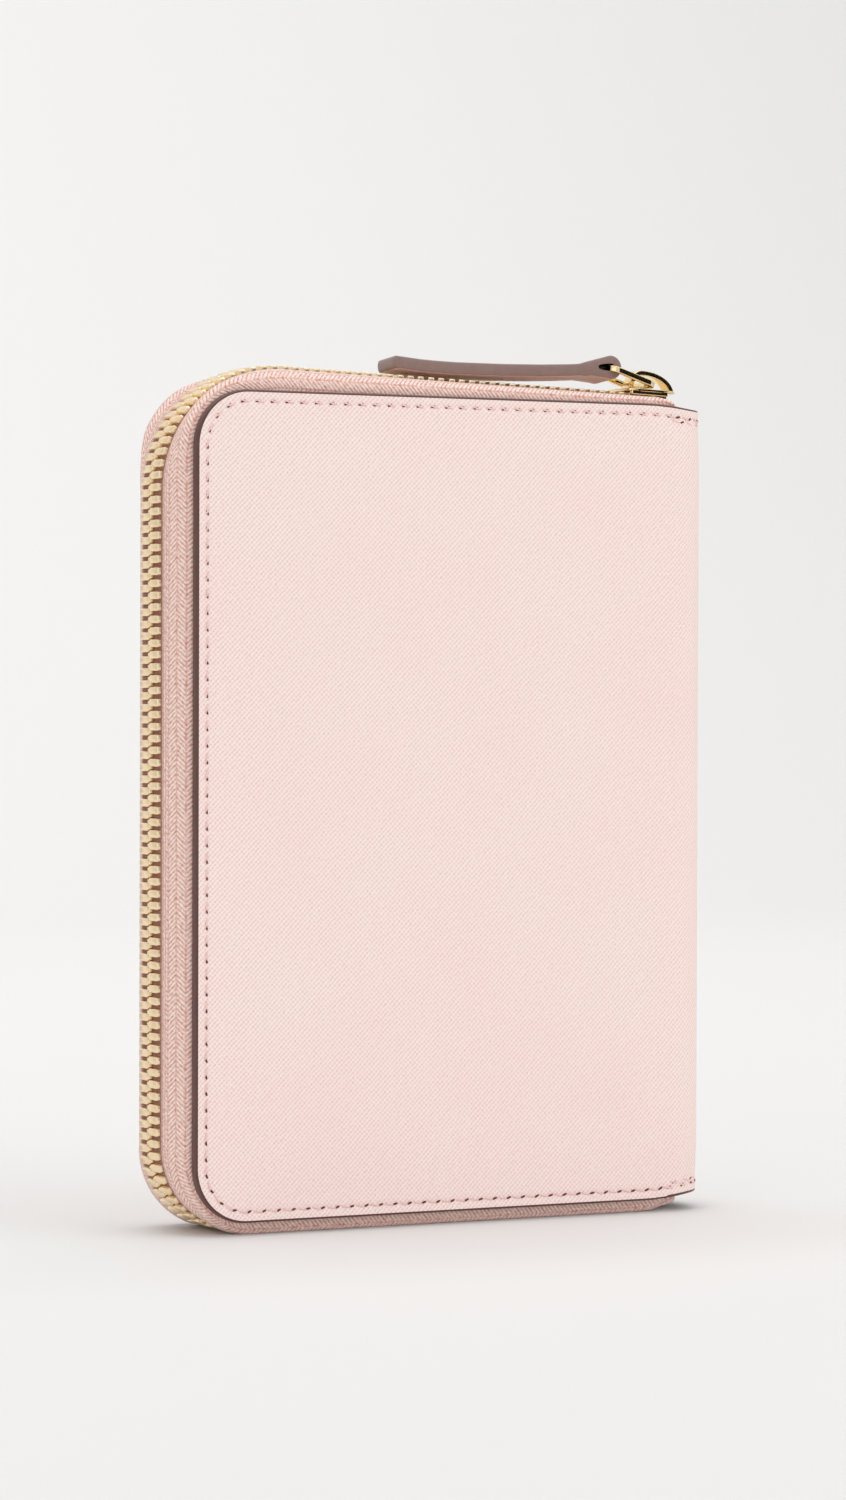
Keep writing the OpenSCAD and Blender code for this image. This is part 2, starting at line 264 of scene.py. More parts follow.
def makeThread():
    material, sheet, shader = newMaterial("sewingThread", {"Specular IOR Level": 0.25})
    place = sheet.onPiece()
    strand = sheet.node("ShaderNodeTexWave", {"bands_direction": "DIAGONAL"},
                        {"Vector": place, "Scale": 1500.0, "Distortion": 1.0})
    tone = sheet.mixColour(strand, (0.80, 0.52, 0.48, 1), (0.93, 0.70, 0.66, 1))
    paintInto(sheet, shader, tone, 0.55 + strand * 0.15)
    bumpInto(sheet, shader, strand, 0.4, 0.04 * mm)
    return material


def makeNeedleHoleShade():
    # painted shade: the dark inside of each needle hole
    material, sheet, shader = newMaterial("needleHole", {"Specular IOR Level": 0.1})
    place = sheet.onPiece()
    speck = sheet.noise(place, 4000.0)
    tone = sheet.mixColour(speck, (0.10, 0.022, 0.02, 1), (0.24, 0.06, 0.055, 1))
    paintInto(sheet, shader, tone, 0.7 + speck * 0.2)
    return material


weave = {
    "band": 1.7, "strand": 0.8,                  # millimetres
    "rib": 0.55, "knot": 0.42,                   # millimetres
    "pale": (1.0, 0.79, 0.71, 1), "deep": (0.64, 0.25, 0.195, 1),
    "shade": (0.30, 0.12, 0.075, 1),             # painted shade between the teeth
    "shadeEnd": (3.0, 3.9),                      # millimetres across: where that shade fades out
    "ribStart": 4.6,                             # millimetres across: ribs nearer the teeth than this
}


def makeTape():
    # herringbone by the cover, fine ribs by the teeth, painted shade under the teeth
    material, sheet, shader = newMaterial("wovenTape", {
        "Specular IOR Level": 0.2, "Sheen Weight": 0.25, "Sheen Roughness": 0.5})
    flat = sheet.onSheet()
    u, v, _ = sheet.split(flat)
    jitter = (sheet.noise(flat, 2.2, 2.0) - 0.5) * 0.3
    zigzag = sheet.sum("PINGPONG", v, weave["band"])
    stroke = sheet.ridges((u + zigzag * 0.9) / weave["strand"] + jitter)
    offCentre = sheet.sum("ABSOLUTE", sheet.sum("PINGPONG", v, weave["band"]) - weave["band"] / 2)
    seam = sheet.remap(offCentre, weave["band"] * 0.36, weave["band"] * 0.5, 1.0, 0.35)
    chevron = (stroke ** 0.7) * seam
    rib = sheet.ridges(v / weave["rib"] + jitter * 0.5)
    knot = sheet.ridges(u / weave["knot"] + sheet.sum("FLOOR", v / weave["rib"]) * 0.5)
    ribbed = (rib ** 0.8) * (knot * 0.5 + 0.5)
    nearTeeth = sheet.remap(v, weave["ribStart"] - 0.15, weave["ribStart"] + 0.15, 1.0, 0.0)
    height = sheet.node("ShaderNodeMix", {"data_type": "FLOAT"}, {0: nearTeeth, 2: chevron, 3: ribbed})
    fibre = sheet.noise(flat, 7.0, 3.0, 0.7)
    fleck = sheet.noise(flat, 1.6, 3.0, 0.65) - 0.5
    light = sheet.sum("MAXIMUM", height * 0.72 + fibre * 0.4 + fleck * 2.2, 0.0)
    tone = sheet.mixColour(sheet.sum("MINIMUM", light, 1.0), weave["deep"], weave["pale"])
    # painted shade: the tape darkens towards the teeth, standing in for the shade between them
    clear = sheet.remap(v, *weave["shadeEnd"], 0.0, 1.0)
    tone = sheet.mixColour(clear, weave["shade"], tone)
    paintInto(sheet, shader, tone, 0.72 + fibre * 0.15)
    bumpInto(sheet, shader, height + fibre * 0.3 + fleck * 0.7, 0.9, 0.16 * mm)
    return material


def makeGold(name, colour, rough, spread, grit):
    material, sheet, shader = newMaterial(name, {"Metallic": 1.0, "Specular IOR Level": 0.5})
    place = sheet.onPiece()
    wander = sheet.noise(place, grit, 3.0)
    deep = (colour[0] * 0.86, colour[1] * 0.74, colour[2] * 0.55, 1)
    tone = sheet.mixColour(wander * 0.8, colour, deep)
    paintInto(sheet, shader, tone, rough + wander * spread)
    bumpInto(sheet, shader, wander, 0.15, 0.03 * mm)
    return material


def makeTwill(name, pale, deep, scale):
    # a fine twill for the lining, on the piece's own width and height
    material, sheet, shader = newMaterial(name, {"Specular IOR Level": 0.2, "Sheen Weight": 0.2})
    place = sheet.onPiece()
    x, _, z = sheet.split(place)
    twill = sheet.sum("ABSOLUTE", sheet.sum("SINE", (x + z) * (math.pi / scale)))
    speck = sheet.noise(place, 2500.0, 3.0)
    tone = sheet.mixColour(twill * 0.6 + speck * 0.4, deep, pale)
    paintInto(sheet, shader, tone, 0.7 + speck * 0.15)
    bumpInto(sheet, shader, twill + speck * 0.4, 0.5, 0.08 * mm)
    return material


def makeSmoothLeather(name, pale, deep):
    # calf with a fine pebble, for the pockets and the pull
    material, sheet, shader = newMaterial(name, {
        "Specular IOR Level": 0.4, "Coat Weight": 0.05, "Coat Roughness": 0.4})
    place = sheet.onPiece()
    pebble = sheet.node("ShaderNodeTexVoronoi", {"feature": "DISTANCE_TO_EDGE"},
                        {"Vector": place, "Scale": 1700.0})
    soft = sheet.sum("MINIMUM", pebble * 5.0, 1.0)
    cloud = sheet.noise(place, 60.0, 3.0)
    tone = sheet.mixColour(cloud * 0.7 + soft * 0.3, deep, pale)
    paintInto(sheet, shader, tone, 0.58 - soft * 0.12)
    bumpInto(sheet, shader, soft, 0.35, 0.05 * mm)
    return material


finish = {
    "leather": makeLeather(),
    "edge": makeEdgePaintAndShade(),
    "tabEdge": makeEdgePaintAndShade("tabEdgePaint", (0.225, 0.145, 0.125, 1), (0.30, 0.20, 0.175, 1)),
    # painted shade: near black inside the tab's eye, whose leather is pink
    "tabInside": makeEdgePaintAndShade("tabInsidePaint", (0.018, 0.01, 0.008, 1), (0.035, 0.02, 0.016, 1)),
    "thread": makeThread(),
    "hole": makeNeedleHoleShade(),
    "tape": makeTape(),
    "teeth": makeGold("zipGold", (1.0, 0.84, 0.61, 1), 0.24, 0.14, 700.0),
    "gold": makeGold("sliderGold", (0.96, 0.80, 0.50, 1), 0.05, 0.07, 260.0),
    "lining": makeTwill("liningTwill", (0.78, 0.50, 0.46, 1), (0.62, 0.36, 0.33, 1), 0.55 * mm),
    "calf": makeSmoothLeather("pocketLeather", (0.86, 0.62, 0.57, 1), (0.80, 0.55, 0.50, 1)),
    "pullTop": makeSmoothLeather("pullLeather", (0.86, 0.64, 0.60, 1), (0.80, 0.57, 0.53, 1)),
}
print("finishes made")


# ---- mesh helpers

sameSpot = 0.002 * mm                            # corners nearer than this are one


def intoScene(name, data):
    made = bpy.data.objects.new(name, data)
    bpy.context.scene.collection.objects.link(made)
    return made


def meshOf(name, bm, sharp):
    # smooth, but for the edges that turn by more than so many degrees
    bmesh.ops.recalc_face_normals(bm, faces=bm.faces)
    mesh = bpy.data.meshes.new(name)
    bm.to_mesh(mesh)
    bm.free()
    for polygon in mesh.polygons:
        polygon.use_smooth = True
    mesh.set_sharp_from_angle(angle=math.radians(sharp))
    return mesh


def makePiece(name, bm, materials, sharp=45):
    bmesh.ops.remove_doubles(bm, verts=bm.verts, dist=sameSpot)
    mesh = meshOf(name, bm, sharp)
    for material in materials:
        mesh.materials.append(material)
    return intoScene(name, mesh)


def gridInto(bm, rows, flats, closed=False, faceMaterial=None):
    # rows of points become quads; flats are the same rows as texture places
    layer = bm.loops.layers.uv.verify()
    made = [[bm.verts.new(p) for p in row] for row in rows]
    count = len(rows[0])
    span = range(count if closed else count - 1)
    for r in range(len(rows) - 1):
        for k in span:
            n = (k + 1) % count
            corners = [(r, k), (r, n), (r + 1, n), (r + 1, k)]
            places = [made[a][b].co for a, b in corners]
            distinct = []
            for place, corner in zip(places, corners):
                if all((place - places[corners.index(d)]).length > 0.003 * mm for d in distinct):
                    distinct.append(corner)
            if len(distinct) < 3:
                continue
            face = bm.faces.new([made[a][b] for a, b in distinct])
            if faceMaterial:
                face.material_index = faceMaterial(r, k)
            for loop, (a, b) in zip(face.loops, distinct):
                loop[layer].uv = flats[a][b]
    return made


def capHoles(bm):
    bmesh.ops.remove_doubles(bm, verts=bm.verts, dist=sameSpot)
    openEdges = [e for e in bm.edges if len(e.link_faces) == 1]
    if openEdges:
        bmesh.ops.holes_fill(bm, edges=openEdges)


def wallInto(bm, rings):
    # quads between closed rings of corners
    for low, high in zip(rings, rings[1:]):
        for k in range(len(low)):
            n = (k + 1) % len(low)
            bm.faces.new((low[k], low[n], high[n], high[k]))


def sweep(name, path, frames, section, materials, closed=False, sharp=45):
    # a section carried along a path; frames holds two axes for each point
    bm = bmesh.new()
    rings, flats = [], []
    run = 0.0
    for k, (point, (side, up)) in enumerate(zip(path, frames)):
        if k:
            run += (Vector(point) - Vector(path[k - 1])).length
        rings.append([Vector(point) + side * a + up * b for a, b in section])
        flats.append([(run / mm, j * 0.5) for j in range(len(section))])
    if closed:
        rings.append(rings[0])
        flats.append(flats[0])
    gridInto(bm, rings, flats, closed=True)
    capHoles(bm)
    return makePiece(name, bm, materials, sharp)


def roundedBox(x0, x1, y0, y1, r, steps=4):
    # a box with round corners, as a function of how far it is inset
    def outline(inset):
        points = []
        radius = max(0.02 * mm, r - inset)
        for cx, cy, start in ((x1, y1, 0), (x0, y1, 90), (x0, y0, 180), (x1, y0, 270)):
            sx, sy = (1 if cx == x1 else -1), (1 if cy == y1 else -1)
            for k in range(steps + 1):
                a = math.radians(start + 90 * k / steps)
                points.append((cx - sx * (inset + radius) + radius * math.cos(a),
                               cy - sy * (inset + radius) + radius * math.sin(a)))
        return points
    return outline


def roundedSection(width, height, radius, steps):
    return roundedBox(-width / 2, width / 2, -height / 2, height / 2, radius, steps)(0)


# ---- the leather sheet: places are (p, z), where p runs along the leather from the zip side

def spineLine():
    # seen from above, a soft half oval from the flat cover to the middle of the spine's back
    start, reach = cover["spineStart"], cover["spineBack"] - cover["spineStart"]
    power = 2 / cover["spinePower"]
    points = []
    for a in quarter(240):
        points.append(Vector((start + reach * math.sin(a) ** power,
                              -cover["face"] * max(0.0, math.cos(a)) ** power)))
    runs = [0.0]
    for a, b in zip(points, points[1:]):
        runs.append(runs[-1] + (b - a).length)
    return points, runs


spinePoints, spineRuns = spineLine()
spineMid = cover["spineStart"] + spineRuns[-1]


def planPoint(p, depth):
    # (x, y) on the back half for a place p along the leather and a depth under its face
    if p <= cover["spineStart"]:
        return Vector((p, -cover["face"] + depth)), Vector((0, -1))
    s = min(p - cover["spineStart"], spineRuns[-1])
    k = next(i for i, run in enumerate(spineRuns) if run >= s)
    k = max(1, k)
    t = (s - spineRuns[k - 1]) / (spineRuns[k] - spineRuns[k - 1])
    low, high = max(0, k - 4), min(len(spinePoints) - 1, k + 3)
    along = (spinePoints[high] - spinePoints[low]).normalized()
    if high == len(spinePoints) - 1:
        along = along.lerp(Vector((0, 1)), (k - high + 4) / 4).normalized()
    if low == 0:
        along = along.lerp(Vector((1, 0)), max(0, 4 - k) / 4).normalized()
    outward = Vector((along.y, -along.x))
    point = spinePoints[k - 1].lerp(spinePoints[k], t)
    return point - outward * depth, outward


def dip(p):
    return cover["spineDip"] * smooth((p - cover["dipStart"]) / cover["dipRun"])


def faceDepth(d):
    # how deep the outer face lies at distance d from the edge
    depth = -cover["crown"] * smooth((d - 2.4 * mm) / (9 * mm))
    across = (d - cover["stitchInset"]) / cover["grooveWidth"]
    depth += cover["grooveDepth"] * math.exp(-across ** 2)
    r = cover["edgeRound"]
    if d < r:
        depth += r - math.sqrt(max(0.0, r * r - (r - d) ** 2))
    return depth


def edgeProfile():
    # (distance from the edge, depth) from the outer face, round the painted edge, to the inner face
    r, thick, belly = cover["edgeRound"], cover["thick"], cover["edgeBelly"]
    outer = [cover["corner"] / mm, 8.4, 7.2, 6, 4.8, 3.8, 3.1, 2.6, 2.3, 2.05, 1.85, 1.65, 1.4, 1.1,
             0.75, 0.5, 0.35]
    profile = [(d * mm, faceDepth(d * mm)) for d in outer]
    profile += [(r * (1 - math.sin(math.radians(a))), r * (1 - math.cos(math.radians(a))))
                for a in (25, 45, 65, 85)]
    profile += [(-belly * 0.7, thick * 0.32), (-belly, thick * 0.5), (-belly * 0.7, thick * 0.7),
                (0, thick * 0.86), (0.12 * mm, thick * 0.96), (0.35 * mm, thick)]
    profile += [(d * mm, thick) for d in (2.5, 6, cover["corner"] / mm)]
    return profile


profile = edgeProfile()
paintStart = 16                                  # first profile step that the paint covers
paintEnd = len(profile) - 4
sheetSteps = {"along": 30, "up": 36, "corner": 16, "spine": 22}


def sheetPoint(side, p, z, depth):
    point, _ = planPoint(p, depth)
    return Vector((point.x, side * -point.y, z))


def spread(start, end, count):
    return [start + (end - start) * k / count for k in range(count + 1)]


def coverStations(end):
    # round the cover from the spine end of the bottom edge to the spine end of the top edge
    r = cover["corner"]
    left, low, high = cover["left"], cover["low"], cover["high"]
    corner = left + r
    places = spread(end, corner, sheetSteps["along"])
    turns = quarter(sheetSteps["corner"])[1:-1]
    stations = [(p, low + dip(p), 0, 1) for p in places]
    for a in turns:
        across, up = math.sin(a), math.cos(a)
        stations.append((corner - r * across, low + r - r * up, across, up))
    stations += [(left, z, 1, 0) for z in spread(low + r, high - r, sheetSteps["up"])]
    for a in turns:
        across, up = math.cos(a), math.sin(a)
        stations.append((corner - r * across, high - r + r * up, across, -up))
    stations += [(p, high - dip(p), 0, -1) for p in reversed(places)]
    return stations


def paintOrFace(first):
    return lambda _, k: 1 if first + paintStart <= k < first + paintEnd else 0


def makeCover(side, name, body, replaced):
    bm = bmesh.new()
    rows, flats = [], []
    for p, z, inP, inZ in coverStations(cover["spineStart"]):
        places = [(p + inP * d, z + inZ * d, depth) for d, depth in profile]
        rows.append([sheetPoint(side, *place) for place in places])
        flats.append([(a / mm, b / mm) for a, b, _ in places])
    gridInto(bm, rows, flats, faceMaterial=paintOrFace(0))
    r = cover["corner"]
    corner = cover["left"] + r
    for depth in (faceDepth(r), cover["thick"]):
        rows, flats = [], []
        for p in spread(cover["spineStart"], corner, sheetSteps["along"]):
            heights = spread(cover["low"] + dip(p) + r, cover["high"] - dip(p) - r, sheetSteps["up"])
            rows.append([sheetPoint(side, p, z, depth) for z in heights])
            flats.append([(p / mm, z / mm) for z in heights])
        gridInto(bm, rows, flats)
    capHoles(bm)
    piece = makePiece(name, bm, [finish["leather"], finish["edge"]])
    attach(piece, body)
    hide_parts(*replaced)
    return piece


def makeSpineHalf(side, name, replaced):
    # one loop round the leather for each place p: outer face, top edge, inner face, bottom edge
    bm = bmesh.new()
    rows, flats = [], []
    band, up, r = len(profile), sheetSteps["up"], cover["corner"]
    for p in spread(cover["spineStart"], spineMid, sheetSteps["spine"]):
        low, high = cover["low"] + dip(p), cover["high"] - dip(p)
        loop = [(z, faceDepth(r)) for z in spread(low + r, high - r, up)[1:-1]]
        loop += [(high - d, depth) for d, depth in profile]
        loop += [(z, cover["thick"]) for z in spread(high - r, low + r, up)[1:-1]]
        loop += [(low + d, depth) for d, depth in reversed(profile)]
        rows.append([sheetPoint(side, p, z, depth) for z, depth in loop])
        flats.append([(p / mm, z / mm) for z, _ in loop])
    top = up - 1
    bottom = top + band + up - 1

    def finishOf(_, k):
        if top + paintStart <= k < top + paintEnd:
            return 1
        if bottom + band - 1 - paintEnd < k < bottom + band - paintStart:
            return 1
        return 2 if top + paintEnd <= k <= bottom + band - 1 - paintEnd else 0

    gridInto(bm, rows, flats, closed=True, faceMaterial=finishOf)
    capHoles(bm)
    piece = makePiece(name, bm, [finish["leather"], finish["edge"], finish["lining"]])
    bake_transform(piece)
    if replaced:
        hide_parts(*replaced)
    return piece


makeCover(-1, "backCover", "back_cover", ["back_leather", "back_board"])
makeCover(1, "frontCover", "front_cover", ["front_leather", "front_board"])
makeSpineHalf(-1, "spineBackHalf", ["spine_leather", "spine_lining"])
makeSpineHalf(1, "spineFrontHalf", [])
print("leather made")


# ---- the zip's path, as (x, z), outward (x, z), reach to the cover's edge, sag and room across

def ridgeAt(x):
    return zipper["topZ"] - (x - zipper["cornerX"]) * math.tan(zipper["fall"])


roomMost = zipper["edgeY"] + 0.3 * mm


def innerRoom(x):
    # how far from the middle plane a tape may reach inside the spine
    if x < cover["spineStart"]:
        return roomMost
    share = min(1.0, (x - cover["spineStart"]) / (cover["spineBack"] - cover["spineStart"]))
    edge = cover["face"] * (1 - share ** cover["spinePower"]) ** (1 / cover["spinePower"])
    return max(1.5 * mm, min(roomMost, edge - cover["thick"] - 0.35 * mm))


def standOut(x, z):
    # how far a place stands out beyond the cover's rounded upper corner
    r = cover["corner"]
    return math.hypot(max(cover["left"] + r - x, 0), max(z - cover["high"] + r, 0)) - r


zipSteps = {"foot": 34, "lowBend": 20, "side": 30, "highBend": 28, "top": 44}
tuckRun = {"low": 6 * mm, "high": 6.5 * mm}      # how far before its end the tape starts to tuck in


def zipStations(lowEnd, highEnd, lowTail=0, highTail=0):
    bend, foot = zipper["bend"], zipper["foot"]
    low = Vector((zipper["cornerX"], foot + bend))
    wide = zipper["highBend"]
    highX = zipper["side"] + wide
    high = Vector((highX, ridgeAt(highX) - wide / math.cos(zipper["fall"])))
    stations = []
    for x in spread(lowEnd, low.x, zipSteps["foot"])[:-1]:
        tuck = lowTail * smooth((x - lowEnd + tuckRun["low"]) / tuckRun["low"])
        stations.append((x, foot + tuck, 0, -1, cover["low"] - foot - tuck * 0.8, 1, innerRoom(x)))
    for k, a in enumerate(quarter(zipSteps["lowBend"])):
        t = k / zipSteps["lowBend"]
        reach = (cover["low"] - foot) * (1 - t) + (cover["left"] - zipper["side"]) * t
        stations.append((low.x - bend * math.sin(a), low.y - bend * math.cos(a),
                         -math.sin(a), -math.cos(a), reach, (1 - t) ** 2, roomMost))
    for z in spread(low.y, high.y, zipSteps["side"])[1:-1]:
        stations.append((zipper["side"], z, -1, 0, cover["left"] - zipper["side"], 0, roomMost))
    turn = math.pi / 2 + zipper["fall"]
    for k in range(zipSteps["highBend"] + 1):
        a = turn * k / zipSteps["highBend"]
        x, z = high.x - wide * math.cos(a), high.y + wide * math.sin(a)
        stations.append((x, z, -math.cos(a), math.sin(a), max(0.4 * mm, standOut(x, z)), 0, roomMost))
    for x in spread(high.x + wide * math.sin(zipper["fall"]), highEnd, zipSteps["top"])[1:]:
        tuck = highTail * smooth((x - highEnd + tuckRun["high"]) / tuckRun["high"])
        z = ridgeAt(x) - tuck
        stations.append((x, z, math.sin(zipper["fall"]), math.cos(zipper["fall"]),
                         max(0.3 * mm, z - cover["high"]), 0, innerRoom(x)))
    return stations


tapeLook = {
    "flatTo": 3.6 * mm,                          # covered by the teeth
    "bulge": 0.0175 * mm, "steps": 16, "puff": 0.3 * mm,
    "round": 2.6, "roundBeside": 1.6,            # along the top, and down the zip's side
    "swell": 1.1 * mm,                           # round the upper corner, where the edge stands proud
}


def tapeLine(station):
    # (depth, distance from the middle) across one half, from the teeth to its sewn margin
    reach, sag, room = station[4:]
    upright = 1 - abs(station[3])
    cornerShare = (2 * station[2] * station[3]) ** 2 if station[3] > 0 else 0
    power = 2 / (tapeLook["round"] + (tapeLook["roundBeside"] - tapeLook["round"]) * upright)
    across = min(zipper["edgeY"], room)
    flat = min(tapeLook["flatTo"], across * 0.5)
    line = [(0, zipper["tapeStart"]), (0, tapeLook["flatTo"] * 0.5), (0, flat)]
    swell = tapeLook["bulge"] * (1 - sag) + tapeLook["swell"] * cornerShare
    for a in quarter(tapeLook["steps"])[1:]:
        depth = reach * (1 - math.cos(a) ** power) - sag * zipper["sag"] * math.sin(2 * a)
        depth -= swell * math.sin(2 * a)
        if sag:
            depth = max(depth, zipper["tape"] / 2 - zipper["foot"])
        puff = tapeLook["puff"] * math.sin(2 * a) * (1 - sag) * (1 - upright)
        line.append((depth, flat + (across - flat) * math.sin(a) ** power + puff))
    line.append((reach + zipper["margin"] * 0.5, across))
    line.append((reach + zipper["margin"], across))
    return line


def offsetLine(line, by):
    moved = []
    for k, (a, b) in enumerate(line):
        c, d = line[max(0, k - 1)], line[min(len(line) - 1, k + 1)]
        along = Vector((d[0] - c[0], d[1] - c[1])).normalized()
        moved.append((a - along.y * by, b + along.x * by))
    return moved


tapeEnds = (45.4 * mm, 49.6 * mm, 1.3 * mm, 4.4 * mm)      # low and high end, low and high tail


def makeTapeHalf(side, name, body):
    bm = bmesh.new()
    rows, flats = [], []
    run, last = 0.0, None
    for station in zipStations(*tapeEnds):
        x, z, outX, outZ = station[:4]
        line = tapeLine(station)
        if last:
            run += math.hypot(x - last[0], z - last[1])
        last = (x, z)
        across = [0.0]
        for a, b in zip(line, line[1:]):
            across.append(across[-1] + math.hypot(b[0] - a[0], b[1] - a[1]))
        half = zipper["tape"] / 2
        ring = offsetLine(line, half) + list(reversed(offsetLine(line, -half)))
        rows.append([Vector((x - outX * u, side * v, z - outZ * u)) for u, v in ring])
        places = across + list(reversed(across))
        flats.append([(run / mm, a / mm) for a in places])
    gridInto(bm, rows, flats, closed=True)
    capHoles(bm)
    piece = makePiece(name, bm, [finish["tape"]], 60)
    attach(piece, body)
    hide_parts(body.split("_")[0] + "_tape")


makeTapeHalf(-1, "backTape", "back_cover")
makeTapeHalf(1, "frontTape", "front_cover")
print("tapes made")


# ---- what repeats along a line: one node group sets a part at even steps along a path

def makeRepeatGroup():
    group = bpy.data.node_groups.new("repeatAlong", "GeometryNodeTree")
    face = group.interface
    face.new_socket("Geometry", in_out="INPUT", socket_type="NodeSocketGeometry")
    for name, kind, value in (
            ("Part", "NodeSocketObject", None), ("Pitch", "NodeSocketFloat", 2 * mm),
            ("Turn", "NodeSocketFloat", 0.0), ("Wander", "NodeSocketFloat", 0.0),
            ("Seed", "NodeSocketInt", 7), ("Finish", "NodeSocketMaterial", None)):
        made = face.new_socket(name, in_out="INPUT", socket_type=kind)
        if value is not None:
            made.default_value = value
    face.new_socket("Geometry", in_out="OUTPUT", socket_type="NodeSocketGeometry")
    sheet = NodeSheet(group)
    node = sheet.node
    source = group.nodes.new("NodeGroupInput")
    given = {s.name: Wire(sheet, s) for s in source.outputs if s.name}
    curve = node("GeometryNodeMeshToCurve", None, {0: given["Geometry"]})
    points = node("GeometryNodeCurveToPoints", {"mode": "LENGTH"},
                  {"Curve": curve, "Length": given["Pitch"]})
    tangent = Wire(sheet, points.socket.node.outputs["Tangent"])
    outward = node("GeometryNodeInputNamedAttribute", {"data_type": "FLOAT_VECTOR"},
                   {"Name": "outward"})
    facing = node("FunctionNodeAxesToRotation", {"primary_axis": "X", "secondary_axis": "Z"},
                  {"Primary Axis": tangent, "Secondary Axis": outward})
    swing = node("FunctionNodeRandomValue", {"data_type": "FLOAT"},
                 {2: given["Wander"] * -1, 3: given["Wander"], "Seed": given["Seed"]}, output=1)
    lean = node("ShaderNodeCombineXYZ", None, {2: given["Turn"] + swing})
    turned = node("FunctionNodeRotateRotation", {"rotation_space": "LOCAL"},
                  {0: facing, 1: node("FunctionNodeEulerToRotation", None, {0: lean})})
    part = node("GeometryNodeObjectInfo", None, {"Object": given["Part"]}, output=4)
    placed = node("GeometryNodeInstanceOnPoints", None,
                  {"Points": points, "Instance": part, "Rotation": turned})
    real = node("GeometryNodeRealizeInstances", None, {0: placed})
    done = node("GeometryNodeSetMaterial", None, {"Geometry": real, "Material": given["Finish"]})
    sink = group.nodes.new("NodeGroupOutput")
    sheet.plug(sink.inputs[0], done)
    return group


repeatGroup = makeRepeatGroup()


def repeatAlong(name, path, part, pitch, material, turn=0.0, wander=0.0, seed=7):
    # path is a list of separate runs, each a list of (point, outward)
    mesh = bpy.data.meshes.new(name + "Path")
    points = [p for run in path for p, _ in run]
    edges, first = [], 0
    for run in path:
        edges += [(first + k, first + k + 1) for k in range(len(run) - 1)]
        first += len(run)
    mesh.from_pydata(points, edges, [])
    outward = mesh.attributes.new("outward", "FLOAT_VECTOR", "POINT")
    for k, (_, way) in enumerate(p for run in path for p in run):
        outward.data[k].vector = way
    holder = intoScene(name + "Path", mesh)
    modifier = holder.modifiers.new("repeat", "NODES")
    modifier.node_group = repeatGroup
    values = {"Part": part, "Pitch": pitch, "Turn": turn, "Wander": wander, "Seed": seed,
              "Finish": material}
    for socket in repeatGroup.interface.items_tree:
        if socket.in_out == "INPUT" and socket.name in values:
            modifier[socket.identifier] = values[socket.name]
    view = holder.evaluated_get(bpy.context.evaluated_depsgraph_get())
    made = bpy.data.meshes.new_from_object(view)
    made.name = name
    bpy.data.objects.remove(holder)
    return intoScene(name, made)


def shapeOf(name, bm):
    # a small shape for repeatAlong, kept out of the scene
    return bpy.data.objects.new(name, meshOf(name, bm, 40))


# ---- teeth

tooth = {
    # (distance from the middle towards its own tape, half length along the row)
    "plan": [(-0.4, 0.2), (-0.36, 0.3), (-0.2, 0.36), (0.08, 0.38), (0.22, 0.5), (0.36, 0.61),
             (0.6, 0.64), (3.25, 0.64), (3.48, 0.58), (3.55, 0.46)],
    "bevel": 0.11 * mm, "lift": 0.92 * mm,
}


def toothShape(side):
    # the plan is pushed through the tape, with a dished and rounded face on each side
    half = [(y * mm, h * mm) for y, h in tooth["plan"]]
    plan = [(h, y) for y, h in half] + [(-h, y) for y, h in reversed(half)]
    middle = sum(y for _, y in plan) / len(plan)
    levels = [(-tooth["lift"], 1), (-tooth["lift"] + tooth["bevel"], 0),
              (tooth["lift"] - tooth["bevel"], 0), (tooth["lift"] - tooth["bevel"] * 0.3, 0.55),
              (tooth["lift"], 1)]
    bm = bmesh.new()
    rings = []
    for z, pulled in levels:
        ring = []
        for x, y in plan:
            inX = math.copysign(min(abs(x), tooth["bevel"]), x) * pulled
            inY = math.copysign(tooth["bevel"], y - middle) * pulled * 0.8
            ring.append(bm.verts.new((x - inX, side * (y - inY), z)))
        rings.append(ring)
    wallInto(bm, rings)
    bm.faces.new(rings[0])
    bm.faces.new(rings[-1])
    return shapeOf("toothShape", bm)


def zipLine(lowEnd, highEnd, skip):
    # the line of the teeth from the foot of the spine round to the slider, started skip along
    line = [(Vector((x, 0, z)), Vector((outX, 0, outZ)))
            for x, z, outX, outZ, *_ in zipStations(lowEnd, highEnd)]
    start = line[0][0]
    step = (line[1][0] - start).normalized()
    line[0] = (start + step * skip, line[0][1])
    return line


zipEnds = {"low": 40.0 * mm, "back": 43.0 * mm, "front": sliderLow.x - 1.6 * mm}


def makeTeeth(side, name, body, end, skip):
    piece = repeatAlong(name, [zipLine(zipEnds["low"], end, skip)], toothShape(side),
                        zipper["pitch"], finish["teeth"], wander=0.02)
    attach(piece, body)
    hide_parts(body.split("_")[0] + "_teeth")


makeTeeth(-1, "backTeeth", "back_cover", zipEnds["back"], 0.0)
makeTeeth(1, "frontTeeth", "front_cover", zipEnds["front"], zipper["pitch"] / 2)
print("teeth made")


# ---- stitches

stitch = {
    "pitch": 2.75 * mm, "long": 1.75 * mm, "wide": 0.34 * mm, "slant": math.radians(13),
    "hole": 0.95 * mm, "holeWide": 0.36 * mm, "holeDeep": 0.16 * mm,
    "sunk": 0.04 * mm, "step": 0.35 * mm,
    # a second short row beside the fold, further in and between two places along the leather
    "rowGap": 0.75 * mm, "rowStart": cover["spineStart"] + 1.0 * mm,
    "rowEnd": cover["spineStart"] + 7.5 * mm,
}
halfWay = 0.07                                   # a height between the bottom and the top seam


